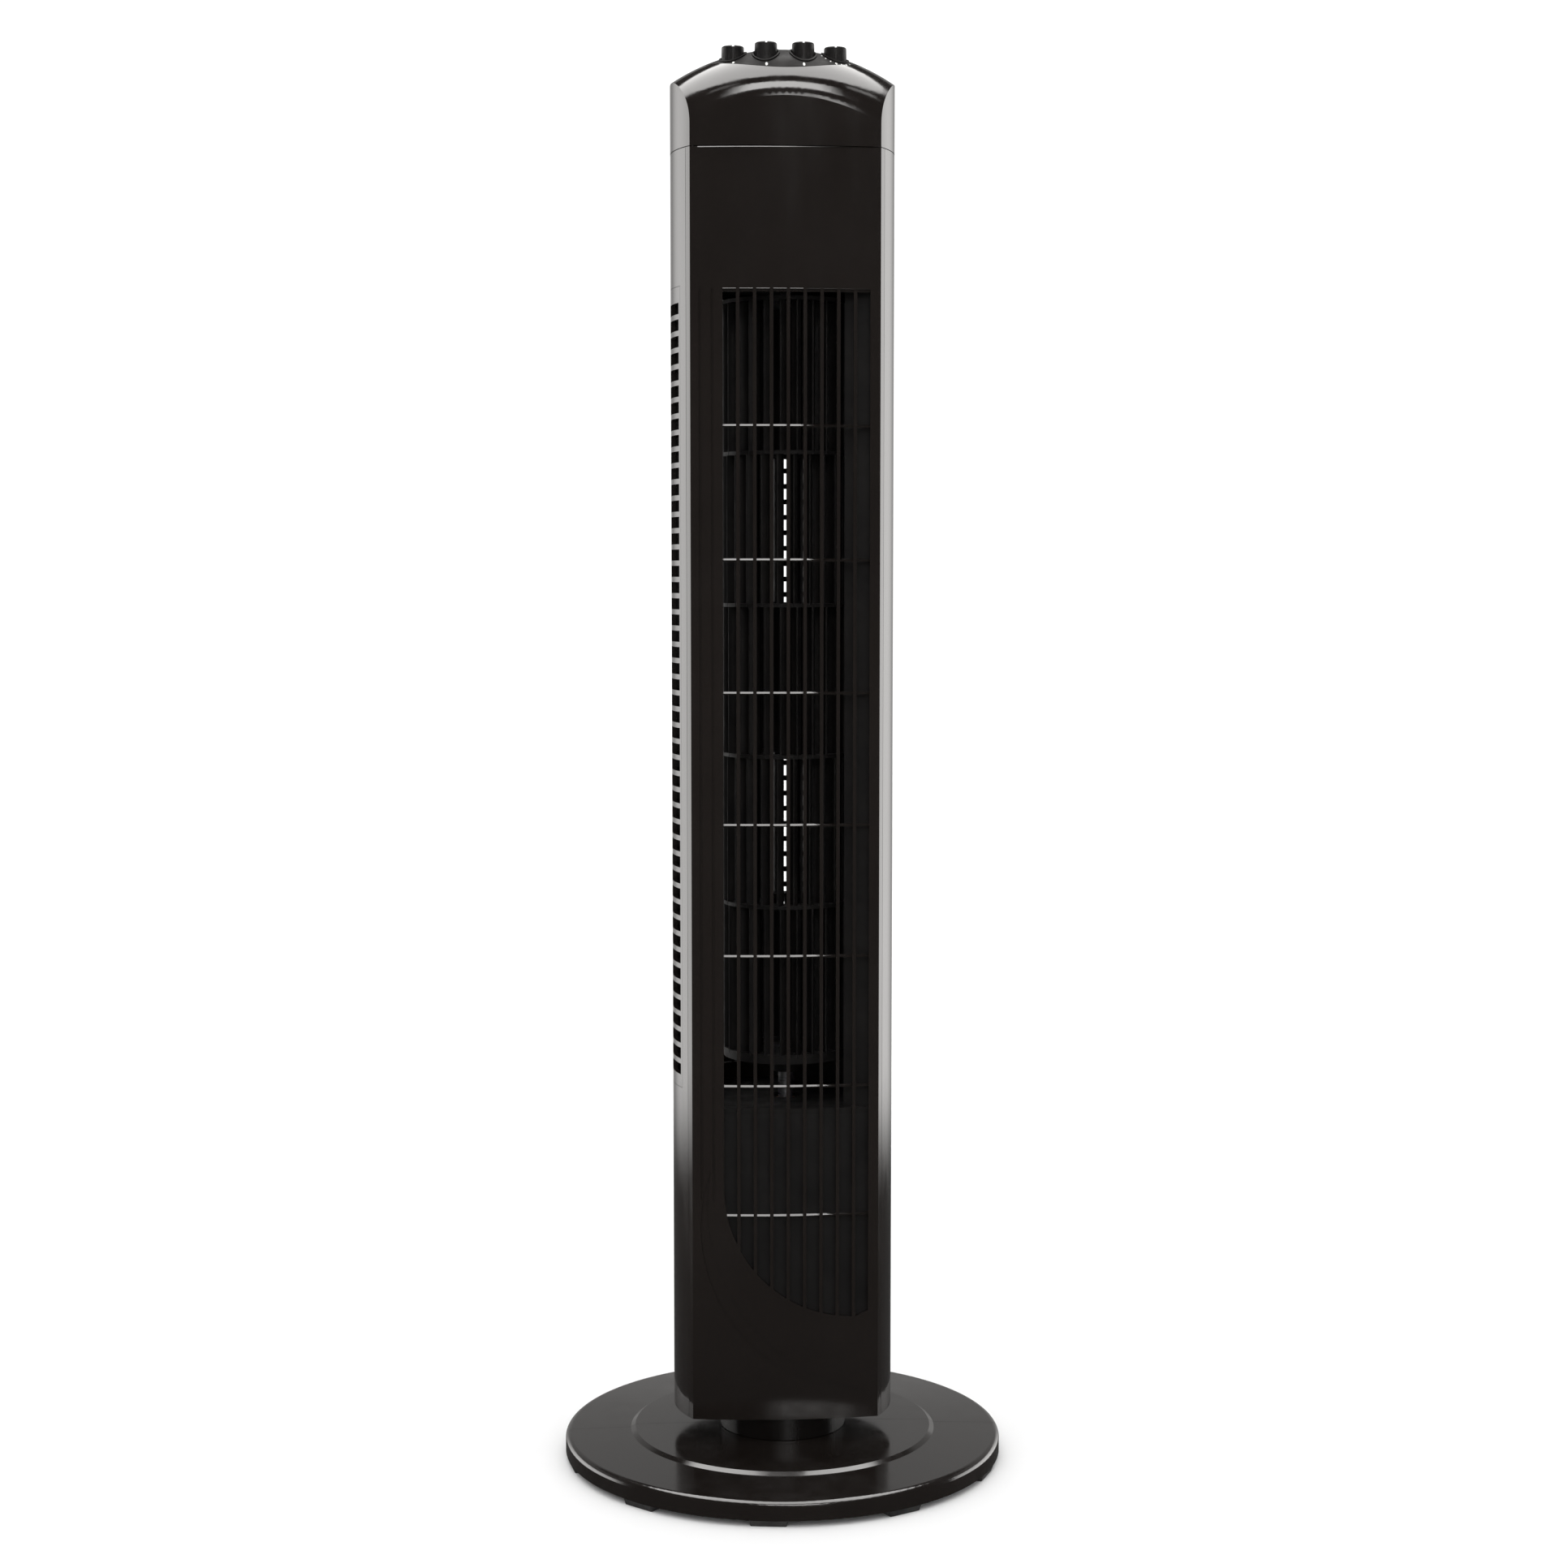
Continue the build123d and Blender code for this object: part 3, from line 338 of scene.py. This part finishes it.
def new_piece(name, bm, material, body, smooth=True):
    """Turn a bmesh in millimetres into a piece that rides on a body."""
    bmesh.ops.recalc_face_normals(bm, faces=bm.faces)
    mesh = bpy.data.meshes.new(name)
    bm.to_mesh(mesh)
    bm.free()
    mesh.transform(Matrix.Scale(MM, 4))
    for polygon in mesh.polygons:
        polygon.use_smooth = smooth
    mesh.materials.append(material)
    piece = bpy.data.objects.new(name, mesh)
    bpy.context.scene.collection.objects.link(piece)
    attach(piece, body)
    return piece


def add_lip(bm, stations, depth):
    """A bevelled lip across the front. A station is x, the lower edge's y, the top's z and the height."""
    sections = []
    for x, y, top, height in stations:
        slope = -x / math.sqrt(FRONT_R**2 - x**2)
        inward = Vector((-slope, 1.0, 0.0)).normalized()
        low = Vector((x, y, top - height))
        back = low + inward * depth
        sections.append([bm.verts.new(v) for v in (low, back, back + Vector((0, 0, height)))])
    for first, second in zip(sections, sections[1:]):
        for corner in range(3):
            after = (corner + 1) % 3
            bm.faces.new((first[corner], first[after], second[after], second[corner]))
    bm.faces.new(sections[0])
    bm.faces.new(sections[-1])


def lip_stations(x_low, x_high, top, inset, height, taper=1.0, steps=40):
    """Stations along the front face, inset behind its skin, growing lower towards the right."""
    stations = []
    for step in range(steps + 1):
        share = step / steps
        x = x_low + (x_high - x_low) * share
        fade = 1.0 - (1.0 - taper) * max(0.0, (share - 0.5) / 0.5)
        stations.append((x, front_skin_y(x, inset), top, height * fade))
    return stations


def make_lips():
    """Bevelled upper edges: the body's top edge under the cap, and each crossbar's."""
    lip = bmesh.new()
    add_lip(lip, lip_stations(-SEAM_X, SEAM_X, SEAM_Z + 0.1, -LIP_PROUD, 0.7, taper=0.3), 0.6)
    new_piece("seam_lip", lip, SLOT_MATERIALS["housing_black"], "column", smooth=False)
    sill = bmesh.new()
    edges = [FIELD_X[0]]
    for slat in range(SLAT_COUNT):
        middle = SLAT_FIRST_X + slat * SLOT_PITCH
        edges += [middle - SLAT_W / 2, middle + SLAT_W / 2]
    edges.append(FIELD_X[1])
    for low, high in zip(edges[0::2], edges[1::2]):
        height = 0.5 if low < BRIGHT_SIDE_X else 0.2
        add_lip(sill, lip_stations(low, high, FIELD_TOP_Z + height, -SILL_PROUD, height, steps=3), 0.5)
    new_piece("slot_sill", sill, SLOT_MATERIALS["housing_black"], "column", smooth=False)
    for bar in range(1, BAR_COUNT):
        top = FIELD_TOP_Z - bar * BAR_PITCH
        drop = min(top - SWEEP_CENTRE[1], 0.0)
        low = FIELD_X[0] if drop == 0 else SWEEP_CENTRE[0] - math.sqrt(SWEEP_R**2 - drop**2)
        bevel = bmesh.new()
        stations = lip_stations(low, FIELD_X[1], top + 0.05, BAR_INSET - 0.75, 0.95, taper=0.25)
        add_lip(bevel, stations, 0.8)
        new_piece(f"crossbar_lip_{bar}", bevel, SLOT_MATERIALS["housing_black"], "column", smooth=False)


def add_print(bm, height, x, y, half_x, half_y, sides):
    """A patch of ink that follows the dome: round with many sides, a bar with four."""
    rim = []
    for side in range(sides):
        turn = math.tau * (side + 0.5) / sides
        px = x + half_x * math.cos(turn)
        py = y + half_y * math.sin(turn)
        rim.append(bm.verts.new((px, py, height(px, py) + INK_LIFT)))
    middle = bm.verts.new((x, y, height(x, y) + INK_LIFT))
    for side in range(sides):
        bm.faces.new((rim[side], rim[(side + 1) % sides], middle))


def make_print():
    """White marks on the control panel: a dot before each collar and the timer's row of ticks."""
    ink = bmesh.new()
    height = cap_surface()
    for x, y in KNOBS.values():
        add_print(ink, height, x, y - MARK_REACH, 0.65, 0.75, 16)
    timer_x, timer_y = KNOBS["timer"]
    for tick in range(7):
        turn = math.radians(-150 + tick * 20)
        x = timer_x + MARK_REACH * math.cos(turn)
        y = timer_y + MARK_REACH * math.sin(turn)
        add_print(ink, height, x, y, 0.4, 0.5, 8)
    new_piece("panel_print", ink, PRINT, "column", smooth=False)


# ---- stage ----
def make_floor():
    """A plain pale floor, wide enough for any view."""
    bpy.ops.mesh.primitive_plane_add(size=12.0, location=(0, 0, 0))
    floor = bpy.context.object
    floor.name = "floor"
    shader = Shader("pale floor")
    shader.ramp_colour(shader.noise(1.2, detail=3.0), (0.86, 0.86, 0.86), (0.92, 0.92, 0.92))
    shader.roughen(shader.remap(shader.noise(6.0), 0.3, 0.7, 0.7, 0.85))
    floor.data.materials.append(shader.material)
    floor.visible_glossy = False


def area_light(name, location, target, size, power):
    """A softbox that lights the fan but shows neither to the camera nor in reflections."""
    data = bpy.data.lights.new(name, "AREA")
    data.shape = "RECTANGLE"
    data.size, data.size_y = size
    data.energy = power
    light = bpy.data.objects.new(name, data)
    light.location = location
    direction = Vector(target) - Vector(location)
    light.rotation_euler = direction.to_track_quat("-Z", "Y").to_euler()
    light.visible_camera = False
    light.visible_glossy = False
    bpy.context.scene.collection.objects.link(light)


def make_lights():
    """Soft fill from above and in front; the world gives the reflections."""
    for name, place, size, power in (
        ("overhead", (0.0, 0.3, 2.2), (1.6, 1.4), 5.0),
        ("front_fill", (-0.6, -2.0, 1.9), (1.2, 1.0), 5.0),
    ):
        area_light(name, place, (0, 0, 0.4), size, power)


class Sky:
    """The studio as seen in reflections: softboxes at set directions from the object."""

    def __init__(self):
        self.world = bpy.data.worlds.new("studio")
        self.world.use_nodes = True
        self.tree = self.world.node_tree
        self.tree.nodes.clear()
        coords = self.tree.nodes.new("ShaderNodeTexCoord")
        split = self.tree.nodes.new("ShaderNodeSeparateXYZ")
        self.tree.links.new(coords.outputs["Generated"], split.inputs["Vector"])
        self.x, self.y, self.z = (split.outputs[axis] for axis in "XYZ")

    def ramp(self, value, low, high, to_low=0.0, to_high=1.0):
        node = self.tree.nodes.new("ShaderNodeMapRange")
        node.interpolation_type = "SMOOTHSTEP"
        for name, number in zip(RANGE_SOCKETS, (low, high, to_low, to_high)):
            node.inputs[name].default_value = number
        self.tree.links.new(value, node.inputs["Value"])
        return node.outputs["Result"]

    def combine(self, operation, a, b):
        node = self.tree.nodes.new("ShaderNodeMath")
        node.operation = operation
        for socket, value in zip(node.inputs, (a, b)):
            if isinstance(value, float):
                socket.default_value = value
            else:
                self.tree.links.new(value, socket)
        return node.outputs[0]

    def window(self, value, low, high, soft):
        """1 between low and high, fading out over soft on each side."""
        rise = self.ramp(value, low - soft, low + soft)
        fall = self.ramp(value, high - soft, high + soft, 1.0, 0.0)
        return self.combine("MULTIPLY", rise, fall)

    def patch(self, strength, *masks):
        value = strength
        for mask in masks:
            value = self.combine("MULTIPLY", mask, value)
        return value

    def finish(self, patches, fill, paper_strength):
        """Add the patches over the dim fill; every ray that isn't a reflection sees white paper."""
        total = fill
        for patch in patches:
            total = self.combine("ADD", patch, total)
        studio = self.tree.nodes.new("ShaderNodeBackground")
        studio.inputs["Color"].default_value = (1.0, 0.985, 0.97, 1)
        self.tree.links.new(total, studio.inputs["Strength"])
        paper = self.tree.nodes.new("ShaderNodeBackground")
        paper.inputs["Strength"].default_value = paper_strength
        paper.inputs["Color"].default_value = (1, 1, 1, 1)
        path = self.tree.nodes.new("ShaderNodeLightPath")
        mix = self.tree.nodes.new("ShaderNodeMixShader")
        output = self.tree.nodes.new("ShaderNodeOutputWorld")
        self.tree.links.new(path.outputs["Is Glossy Ray"], mix.inputs["Fac"])
        self.tree.links.new(paper.outputs["Background"], mix.inputs[1])
        self.tree.links.new(studio.outputs["Background"], mix.inputs[2])
        self.tree.links.new(mix.outputs["Shader"], output.inputs["Surface"])
        bpy.context.scene.world = self.world


# strength, lowest and highest elevation in degrees, left and right edge of each small ceiling light
CEILING_PANES = ((3.0, 45, 49, 0.40, 0.56), (1.5, 43, 47, -0.38, -0.22))


def elevation(degrees):
    """Height of a direction's unit vector at this angle above the horizon."""
    return math.sin(math.radians(degrees))


def make_world():
    """White paper all round; reflections see lights at both sides, softboxes above and in front."""
    sky = Sky()
    in_front = sky.ramp(sky.y, -0.3, -0.1, 1.0, 0.0)
    sideways = sky.combine("ABSOLUTE", sky.x, 0.0)
    side_glow = sky.combine("ADD", sky.ramp(sideways, 0.30, 0.99, 0.0, 3.9), 0.42)
    sides = sky.patch(
        side_glow,
        sky.ramp(sky.y, 0.02, 0.16),
        sky.window(sky.z, elevation(-12.2), elevation(15.5), 0.02),
    )
    rear_wall = sky.patch(
        0.35,
        sky.ramp(sky.y, 0.0, 0.4),
        sky.window(sky.z, elevation(15), elevation(35), 0.05),
    )
    overhead = sky.patch(8.0, sky.window(sky.z, elevation(54), 1.2, 0.02))
    front_box = sky.patch(
        11.0,
        sky.window(sky.z, elevation(27), elevation(40), 0.015),
        sky.window(sky.x, -0.20, 0.28, 0.08),
        in_front,
    )
    low_strip = sky.patch(
        6.0,
        sky.window(sky.z, elevation(13), elevation(16), 0.008),
        sky.window(sky.x, 0.0, 0.30, 0.05),
        in_front,
    )
    panes = [
        sky.patch(
            strength,
            sky.window(sky.z, elevation(low), elevation(high), 0.008),
            sky.window(sky.x, left, right, 0.01),
            in_front,
        )
        for strength, low, high, left, right in CEILING_PANES
    ]
    patches = (*panes, sides, rear_wall, overhead, front_box, low_strip)
    sky.finish(patches, fill=0.07, paper_strength=1.12)


make_camera()
dress_cad_nodes()
make_lips()
make_print()
make_floor()
make_lights()
make_world()
bpy.context.scene.view_settings.view_transform = "Standard"
